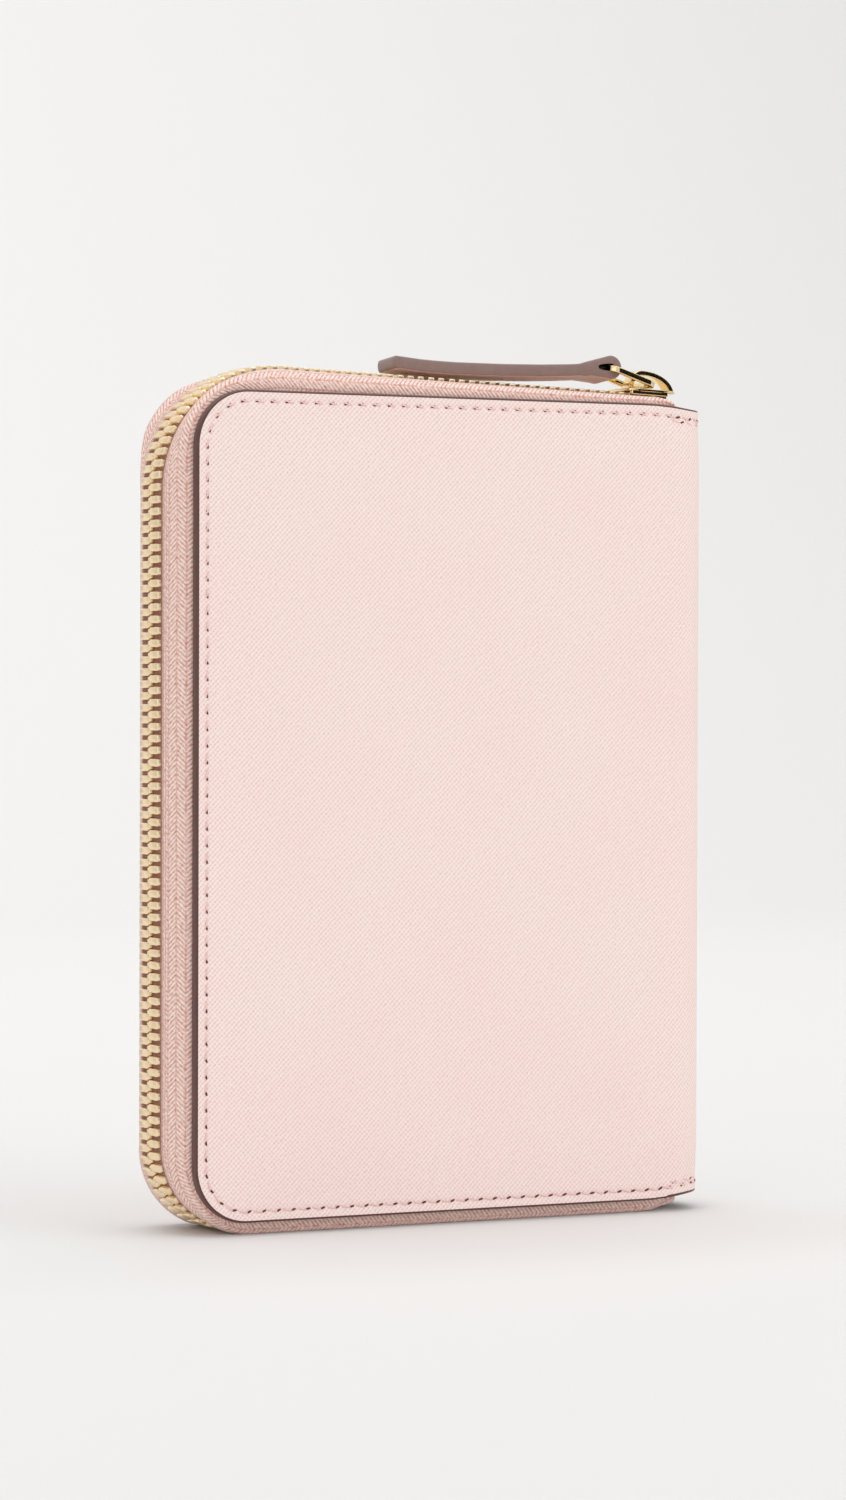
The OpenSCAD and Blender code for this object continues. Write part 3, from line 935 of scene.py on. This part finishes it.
def capsule(name, long, wide, tall, rings=6, around=8):
    bm = bmesh.new()
    rows = []
    for k in range(rings + 1):
        a = math.pi * k / rings
        bulge = math.sin(a) ** 0.55
        rows.append([Vector((-long / 2 * math.cos(a), wide / 2 * bulge * math.cos(b),
                             tall / 2 * bulge * math.sin(b)))
                     for b in (2 * math.pi * j / around for j in range(around))])
    gridInto(bm, rows, [[(0, 0)] * around] * (rings + 1), closed=True)
    bmesh.ops.remove_doubles(bm, verts=bm.verts, dist=sameSpot)
    return shapeOf(name, bm)


threadShape = capsule("threadShape", stitch["long"], stitch["wide"], stitch["wide"])
holeShape = capsule("holeShape", stitch["hole"], stitch["holeWide"], stitch["holeDeep"])


def walk(points, step):
    # even steps along a line of (p, z, ...)
    walked, left = [], 0.0
    for a, b in zip(points, points[1:]):
        length = math.hypot(b[0] - a[0], b[1] - a[1])
        at = left
        while at < length:
            t = at / length
            walked.append((a[0] + (b[0] - a[0]) * t, a[1] + (b[1] - a[1]) * t))
            at += step
        left = at - length
    return walked


def seamLine(inset):
    # all round one half of the sheet, from mid-spine at the bottom to mid-spine at the top
    lead = spread(spineMid, cover["spineStart"], 20)[:-1]
    line = [(p, cover["low"] + dip(p) + inset) for p in lead]
    line += [(p + inP * inset, z + inZ * inset)
             for p, z, inP, inZ in coverStations(cover["spineStart"])]
    line += [(p, cover["high"] - dip(p) - inset) for p in reversed(lead)]
    return line


def sewnPath(side, places, sunk):
    path = []
    for p, z in places:
        _, outward = planPoint(p, 0)
        path.append((sheetPoint(side, p, z, sunk), Vector((outward.x, side * -outward.y, 0))))
    return path


def lowAndHigh(places):
    return [[q for q in places if q[1] < halfWay], [q for q in places if q[1] >= halfWay]]


def makeSeam(side, name, bodies):
    # the cover's part of the seam is one run; the spine's part is a low run and a high run
    first = walk(seamLine(cover["stitchInset"]), stitch["step"])
    second = walk(seamLine(cover["stitchInset"] + stitch["rowGap"]), stitch["step"])
    onSpine = len(bodies) > 1
    if onSpine:
        runs = lowAndHigh([q for q in first if q[0] > cover["spineStart"]])
        runs += lowAndHigh([q for q in second if stitch["rowStart"] < q[0] < stitch["rowEnd"]])
    else:
        runs = [[q for q in first if q[0] <= cover["spineStart"]]]
    threads = repeatAlong(name + "Thread", [sewnPath(side, run, stitch["sunk"]) for run in runs],
                          threadShape, stitch["pitch"], finish["thread"],
                          turn=side * stitch["slant"], wander=0.06)
    shifted = [run[round(stitch["pitch"] / (2 * stitch["step"])):] for run in runs]
    # dark marks of painted shade at the needle holes, between the stitches
    holes = repeatAlong(name + "Holes",
                        [sewnPath(side, run, stitch["sunk"] - 0.01 * mm) for run in shifted],
                        holeShape, stitch["pitch"], finish["hole"],
                        turn=-side * stitch["slant"] * 1.5, wander=0.12)
    for piece in (threads, holes):
        if onSpine:
            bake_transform(piece)
        else:
            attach(piece, bodies[0])


for side, word in ((-1, "back"), (1, "front")):
    makeSeam(side, word + "Seam", [word + "_cover"])
    makeSeam(side, word + "SpineSeam", [word + "_cover", "spine"])
print("seams made")


# ---- slider, link and tab

sliderPlace = (sliderLow + sliderHigh) / 2
slider = {
    "long": 5.3 * mm, "wide": 4.7 * mm, "plate": 1.1 * mm, "plateTop": 1.66 * mm,
    "rim": 0.13 * mm,
    "flangeIn": 3.75 * mm, "slitUp": 0.5 * mm, "slitDown": 0.8 * mm,
    "flangeBack": 0.5 * mm, "flangeFront": 2.6 * mm, "flangeRim": 0.12 * mm, "flangeLap": 0.3 * mm,
    "postBack": 2.6 * mm, "postFront": 0.4 * mm, "postHalf": 0.25 * mm, "postLap": 0.2 * mm,
    "bridgeWide": 2.5 * mm, "bridgeThick": 0.9 * mm, "bridgeTop": 5.15 * mm, "bridgeEdge": 0.14 * mm,
    "peak": -0.9 * mm, "back": 2.6 * mm, "front": 6.7 * mm,
}


def sliderSpot(x, y, z):
    a = zipper["fall"]
    return sliderPlace + Vector((x * math.cos(a) + z * math.sin(a), y,
                                 z * math.cos(a) - x * math.sin(a)))


def rims(low, high, bevel, steps):
    # (inset, level) round the lower and the upper rim of a slab
    turns = quarter(steps)
    lower = [(bevel * (1 - math.sin(a)), low + bevel * (1 - math.cos(a))) for a in turns]
    upper = [(bevel * (1 - math.cos(a)), high - bevel * (1 - math.sin(a))) for a in turns]
    return lower, upper


def slabInto(bm, outline, low, high, bevel, spot, steps=3):
    # outline is a function of an inset; the slab has rounded rims
    lower, upper = rims(low, high, bevel, steps)
    rings = [(outline(inset), level) for inset, level in lower + upper]
    verts = [[bm.verts.new(spot(a, b, level)) for a, b in ring] for ring, level in rings]
    layer = bm.loops.layers.uv.verify()
    wallInto(bm, verts)
    bm.faces.new(verts[0])
    bm.faces.new(verts[-1])
    for ring, row in zip((rings[0][0], rings[-1][0]), (verts[0], verts[-1])):
        for (a, b), vert in zip(ring, row):
            for loop in vert.link_loops:
                loop[layer].uv = (a / mm, b / mm)


def plateOutline(inset):
    # square at the back, rounder at the nose
    points = []
    steps = 48
    for k in range(steps):
        a = 2 * math.pi * k / steps
        nose = math.cos(a) > 0
        x = math.copysign(abs(math.cos(a)) ** (2 / 2.6 if nose else 2 / 6), math.cos(a))
        y = math.copysign(abs(math.sin(a)) ** (2 / 3.4 if nose else 2 / 6), math.sin(a))
        points.append((x * (slider["long"] - inset), y * (slider["wide"] - inset)))
    return points


def makeSlider():
    s = slider
    bm = bmesh.new()
    slabInto(bm, plateOutline, s["plate"], s["plateTop"], s["rim"], sliderSpot)
    slabInto(bm, plateOutline, -s["plateTop"], -s["plate"], s["rim"], sliderSpot)
    for side in (-1, 1):
        near, far = sorted((side * s["flangeIn"], side * (s["wide"] - 0.05 * mm)))
        box = roundedBox(-s["long"] + s["flangeBack"], s["flangeFront"], near, far, 0.2 * mm, 2)
        lap = s["plate"] + s["flangeLap"]
        slabInto(bm, box, s["slitUp"], lap, s["flangeRim"], sliderSpot, 2)
        slabInto(bm, box, -lap, -s["slitDown"], s["flangeRim"], sliderSpot, 2)
    post = roundedBox(s["long"] - s["postBack"], s["long"] - s["postFront"], -s["postHalf"],
                      s["postHalf"], 0.1 * mm, 2)
    lap = s["plate"] + s["postLap"]
    slabInto(bm, post, -lap, lap, 0.05 * mm, sliderSpot, 2)
    piece = makePiece("sliderBody", bm, [finish["gold"]], 50)
    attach(piece, "slider")
    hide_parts("slider_body")


def makeBridge():
    # a rounded strap that arches from the back of the top plate over the nose
    s = slider
    half = s["bridgeThick"] / 2
    steps = 40
    line = []
    for k in range(steps + 1):
        a = math.pi * k / steps
        ahead = math.cos(a) > 0
        base = s["plate"] + 0.1 * mm if ahead else s["plateTop"] - 0.15 * mm
        run = (s["front"] if ahead else s["back"]) - half
        line.append((s["peak"] + run * math.cos(a), base + (s["bridgeTop"] - base - half) * math.sin(a)))
    path, frames = [], []
    for k, (x, z) in enumerate(line):
        a, b = line[max(0, k - 1)], line[min(steps, k + 1)]
        along = (sliderSpot(b[0], 0, b[1]) - sliderSpot(a[0], 0, a[1])).normalized()
        path.append(sliderSpot(x, 0, z))
        frames.append((Vector((0, 1, 0)), along.cross(Vector((0, 1, 0)))))
    section = roundedSection(s["bridgeWide"], s["bridgeThick"], s["bridgeEdge"], 4)
    piece = sweep("sliderBridge", path, frames, section, [finish["gold"]], sharp=60)
    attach(piece, "slider")
    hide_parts("slider_bridge")


link = {"inHalf": 3.62 * mm, "wire": 1.2 * mm, "tall": 1.05 * mm, "corner": 1.5 * mm,
        "step": 0.8 * mm}


def makeLink():
    along = (barPlace - pivotPlace).normalized()
    long = (barPlace - pivotPlace).length
    up = Vector((-along.z, 0, along.x))
    up = -up if up.z < 0 else up
    half = link["inHalf"] + link["wire"] / 2
    flat = roundedBox(0, long, -half, half, link["corner"], 8)(0)
    dense = []
    for k, a in enumerate(flat):
        b = flat[(k + 1) % len(flat)]
        parts = max(1, round(math.hypot(b[0] - a[0], b[1] - a[1]) / link["step"]))
        dense += [(a[0] + (b[0] - a[0]) * j / parts, a[1] + (b[1] - a[1]) * j / parts)
                  for j in range(parts)]
    path = [pivotPlace + along * a + Vector((0, b, 0)) for a, b in dense]
    frames = []
    for k in range(len(path)):
        way = (path[(k + 1) % len(path)] - path[k - 1]).normalized()
        frames.append((way.cross(up).normalized(), up))
    section = roundedSection(link["wire"] * 0.95, link["tall"], 0.16 * mm, 3)
    piece = sweep("pullLink", path, frames, section, [finish["gold"]], closed=True, sharp=60)
    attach(piece, "link")
    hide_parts("pull_link")


tab = {
    "thick": 2.15 * mm, "eye": 2.1 * mm, "hole": 1.0 * mm, "drawn": 2.0 * mm,
    "roll": math.radians(5),
    "wide": 6.7 * mm, "bevel": 0.32 * mm, "tip": 0.35 * mm, "holeBack": -3.4 * mm,
    "around": math.radians(112),                 # how far each way the eye runs from the bar's far side
    # middle of the strip below the bar, by distance from the bar
    "strip": [(-42.7, -0.48), (-41, -0.62), (-38, -0.92), (-34.5, -1.1), (-31, -1.2), (-22, -1.2),
              (-14, -1.03), (-8, -0.76), (-6.2, -0.62), (-4.4, -0.4)],
}


def tabOutline(inset):
    # seen from the side: the strip, then the eye; the strip swells into the eye
    thick, eye = tab["thick"] / 2 - inset, tab["eye"] - inset
    middle = [(x * mm, z * mm) for x, z in tab["strip"]]
    fine = []
    for (a, b), (c, d) in zip(middle, middle[1:]):
        fine += [(a + (c - a) * k / 4, b + (d - b) * k / 4) for k in range(4)]
    fine.append(middle[-1])
    top = [(x, z + thick * (1 + 0.35 * smooth((x / mm + 7) / 3))) for x, z in fine]
    low = [(x, z - thick * (1 + 0.12 * smooth((x / mm + 7) / 3))) for x, z in fine]
    tipX, tipZ = middle[0]
    end = []
    for a in (math.radians(30 * k) for k in range(6)):
        end.append((tipX + inset - tab["tip"] * math.sin(a), tipZ - thick * math.cos(a)))
    ring = [(eye * math.cos(a), eye * math.sin(a)) for a in spread(tab["around"], -tab["around"], 24)]
    return end + top + ring + list(reversed(low))[:-1]


def makeTab():
    roll = tab["roll"]

    def spot(a, b, level):
        return barPlace + Vector((a, level * math.cos(roll) + b * math.sin(roll),
                                  b * math.cos(roll) - level * math.sin(roll)))

    def hole(grow):
        # drawn out to a point where the strap's two layers part
        points = []
        for k in range(32):
            a = 2 * math.pi * k / 32
            x, z = (tab["hole"] + grow) * math.cos(a), (tab["hole"] + grow) * math.sin(a)
            points.append((x - tab["drawn"] * smooth(-math.cos(a)), z - 0.05 * mm))
        return points

    bm = bmesh.new()
    half = tab["wide"] / 2
    lower, upper = rims(-half, half, tab["bevel"], 3)
    rings = lower + [(0, half * t) for t in (-0.6, -0.2, 0.2, 0.6)] + upper
    outer = [[bm.verts.new(spot(a, b, level)) for a, b in tabOutline(inset)] for inset, level in rings]
    inner = [[bm.verts.new(spot(a, b, level)) for a, b in hole(-inset)] for inset, level in rings]
    wallInto(bm, outer)
    wallInto(bm, inner)
    for at in (0, -1):
        loops = [bm.edges.get((row[k], row[(k + 1) % len(row)])) for row in (outer[at], inner[at])
                 for k in range(len(row))]
        bmesh.ops.triangle_fill(bm, edges=loops, use_beauty=True)
    bm.normal_update()
    bmesh.ops.recalc_face_normals(bm, faces=bm.faces)
    for face in bm.faces:
        middle = face.calc_center_median() - barPlace
        # faces inside the eye get the painted shade
        inHole = (tab["holeBack"] < middle.x < tab["hole"] * 1.1
                  and abs(middle.z) < tab["hole"] * 1.15)
        painted = abs(face.normal.y) > 0.35 or middle.x < tab["strip"][0][0] * mm
        face.material_index = 1 if painted else 2 if inHole else 0
    piece = makePiece("pullTab", bm, [finish["pullTop"], finish["tabEdge"], finish["tabInside"]], 60)
    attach(piece, "tab")
    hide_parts("pull_tab")


makeSlider()
makeBridge()
makeLink()
makeTab()
print("slider and pull made")


# ---- the inside: linings, pockets and card slots

inside = {
    "corner": 8 * mm, "bevel": 0.2 * mm, "rim": 3 * mm, "seam": 1.6 * mm,
    "hem": 2.4 * mm, "hemInset": 3.5 * mm, "pitch": 3.0 * mm, "pocketCorner": 1.2 * mm,
}


def innerSpot(a, b, level):
    return Vector((a, level, b))


def coverBox(x0, x1, z0, z1, r, steps=10):
    # rounded on the zip side, square at the fold
    def outline(inset):
        radius = r - inset
        points = [(x1 - inset, z0 + inset), (x1 - inset, z1 - inset)]
        for cz, start in ((z1, 90), (z0, 180)):
            for k in range(steps + 1):
                a = math.radians(start + 90 * k / steps)
                up = -1 if cz == z1 else 1
                points.append((x0 + inset + radius + radius * math.cos(a),
                               cz + up * (inset + radius) + radius * math.sin(a)))
        return points
    return outline


def onFace(face, way, places):
    # a run of stitches on a flat face
    return [(Vector((a, face, b)), Vector((0, way, 0))) for a, b in places]


def seamThread(name, path, body):
    piece = repeatAlong(name, [path], threadShape, inside["pitch"], finish["thread"], turn=0.1,
                        wander=0.05, seed=11)
    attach(piece, body)


def makeLining(node, name, body):
    low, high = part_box(node)
    bm = bmesh.new()
    slabInto(bm, coverBox(low.x, high.x, low.z, high.z, inside["corner"]), low.y, high.y,
             inside["bevel"], innerSpot)
    piece = makePiece(name, bm, [finish["lining"]], 40)
    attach(piece, body)
    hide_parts(node)
    way = 1 if low.y < 0 else -1
    face = high.y if way > 0 else low.y
    inset = inside["seam"]
    ring = coverBox(low.x + inset, high.x - inset, low.z + inset, high.z - inset,
                    inside["corner"] - inset)(0)
    seamThread(name + "Seam", onFace(face, way, ring[1:] + ring[:1]), body)


def makePocket(node, name, body, rimThick):
    # a panel held off its backing by a rim on three sides, hemmed along its open top edge
    low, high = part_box(node)
    way = 1 if low.y < 0 else -1
    back, front = (low.y, high.y) if way > 0 else (high.y, low.y)
    middle = back + way * rimThick
    bm = bmesh.new()

    def slab(x0, x1, z0, z1, y0, y1, bevel):
        slabInto(bm, roundedBox(x0, x1, z0, z1, inside["pocketCorner"]), min(y0, y1), max(y0, y1),
                 bevel, innerSpot)

    slab(low.x, high.x, low.z, high.z, middle, front, inside["bevel"] * 0.9)
    rim, lap = inside["rim"], 0.05 * mm * way
    for x0, x1, z0, z1 in ((low.x, low.x + rim, low.z, high.z), (high.x - rim, high.x, low.z, high.z),
                           (low.x + rim * 0.6, high.x - rim * 0.6, low.z, low.z + rim)):
        slab(x0, x1, z0, z1, back, middle + lap, 0.05 * mm)
    piece = makePiece(name, bm, [finish["calf"]], 40)
    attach(piece, body)
    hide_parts(node)
    inset = inside["seam"]
    line = [(low.x + inset, high.z - inset * 0.6), (low.x + inset, low.z + inset),
            (high.x - inset, low.z + inset), (high.x - inset, high.z - inset * 0.6)]
    seamThread(name + "Seam", onFace(front, way, line), body)
    hem = high.z - inside["hem"]
    crease = [(low.x + inside["hemInset"], hem), (high.x - inside["hemInset"], hem)]
    seamThread(name + "Hem", onFace(front, way, crease), body)


makeLining("back_lining", "backLining", "back_cover")
makeLining("front_lining", "frontLining", "front_cover")
makePocket("passport_pocket", "passportPocket", "back_cover", 0.5 * mm)
makePocket("slip_pocket", "slipPocket", "front_cover", 0.5 * mm)
for number in range(1, 5):
    makePocket(f"card_slot_{number}", f"cardSlot{number}", "front_cover", 0.2 * mm)
for stops in ("back_stops", "front_stops"):
    clip = frame["nodes"][stops]
    clip.data.materials.clear()
    clip.data.materials.append(finish["teeth"])
    soft = clip.modifiers.new("soften", "BEVEL")
    soft.width = 0.12 * mm
    soft.segments = 2
    soft.limit_method = "ANGLE"
print("inside made")


# ---- the stage and the camera

def makeStage():
    floor = {"near": -1.6, "far": 0.9, "width": 5.0, "bend": 0.9, "wall": 2.6}
    line = [Vector((0, floor["near"], 0)), Vector((0, floor["far"], 0))]
    for a in quarter(24)[1:]:
        line.append(Vector((0, floor["far"] + floor["bend"] * math.sin(a),
                            floor["bend"] * (1 - math.cos(a)))))
    line.append(line[-1] + Vector((0, 0, floor["wall"])))
    bm = bmesh.new()
    rows = [[p + Vector((x, 0, 0)) for x in (-floor["width"], floor["width"])] for p in line]
    flats = [[(0, 0), (1, 0)] for _ in line]
    gridInto(bm, rows, flats)
    material, sheet, shader = newMaterial("paper", {"Specular IOR Level": 0.2})
    place = sheet.onPiece()
    tint = sheet.noise(place, 1.5, 1.0)
    tone = sheet.mixColour(tint, (0.785, 0.781, 0.776, 1), (0.80, 0.797, 0.793, 1))
    paintInto(sheet, shader, tone, 0.62 + tint * 0.1)
    backdrop = makePiece("backdrop", bm, [material], 80)


def makeLights():
    world = bpy.data.worlds.new("studioAir")
    bpy.context.scene.world = world
    world.use_nodes = True
    air = world.node_tree.nodes["Background"]
    air.inputs["Color"].default_value = (1.0, 0.998, 0.995, 1)
    air.inputs["Strength"].default_value = 0.78
    lamps = [
        ("keySoftbox", (0.75, -0.95, 0.85), (1.2, 1.2), 4.15, (1.0, 0.995, 0.985)),
        ("topSoftbox", (-0.1, -0.1, 1.35), (1.2, 1.0), 2.8, (1.0, 0.99, 0.98)),
        ("leftFill", (-1.1, -0.7, 0.5), (0.9, 1.1), 1.65, (1.0, 1.0, 1.0)),
        ("wallWash", (0.0, 0.6, 1.6), (2.0, 0.8), 10.0, (1.0, 1.0, 1.0)),
    ]
    aim = Vector((0, 0, 0.07))
    for name, place, size, power, colour in lamps:
        data = bpy.data.lights.new(name, "AREA")
        data.shape = "RECTANGLE"
        data.size, data.size_y = size
        data.energy = power
        data.color = colour
        lamp = intoScene(name, data)
        lamp.location = place
        target = Vector((0, 1.6, 0.5)) if name == "wallWash" else aim
        lamp.rotation_euler = (target - Vector(place)).to_track_quat("-Z", "Y").to_euler()


def makeCamera():
    look = {"azimuth": math.radians(-28), "down": math.radians(0.84), "roll": math.radians(0.17),
            "place": Vector((-386.7, -726.2, 93.2)) * mm, "lens": 114.0}
    data = bpy.data.cameras.new("camera")
    data.sensor_width = 36.0
    data.lens = look["lens"]
    data.clip_start = 0.05
    data.clip_end = 20.0
    camera = intoScene("camera", data)
    turn = Matrix.Rotation(look["azimuth"], 4, "Z")
    turn = turn @ Matrix.Rotation(math.pi / 2 - look["down"], 4, "X")
    turn = turn @ Matrix.Rotation(look["roll"], 4, "Z")
    camera.matrix_world = Matrix.Translation(look["place"]) @ turn
    bpy.context.scene.camera = camera
    bpy.context.scene.view_settings.view_transform = "Standard"


def makeDarkCard():
    # the unlit studio in front, seen only in the polished metal that faces the camera
    card = {"away": 0.7, "half": 0.42, "low": -0.02, "high": 0.62, "toward": Vector((0.5, -0.87, 0))}
    middle = card["toward"] * card["away"]
    across = Vector((-card["toward"].y, card["toward"].x, 0)) * card["half"]
    bm = bmesh.new()
    rows = [[middle - across + Vector((0, 0, z)), middle + across + Vector((0, 0, z))]
            for z in (card["low"], card["high"])]
    gridInto(bm, rows, [[(0, 0), (1, 0)]] * 2)
    material, sheet, shader = newMaterial("darkStudio", {"Specular IOR Level": 0.0})
    place = sheet.onPiece()
    sheet.plug(shader.inputs["Base Color"], sheet.mixColour(
        sheet.noise(place, 2.0), (0.004, 0.004, 0.004, 1), (0.02, 0.018, 0.016, 1)))
    piece = makePiece("darkCard", bm, [material])
    piece.visible_camera = False
    piece.visible_diffuse = False
    piece.visible_shadow = False
    piece.visible_transmission = False


makeStage()
makeDarkCard()
makeLights()
makeCamera()
print("stage made")
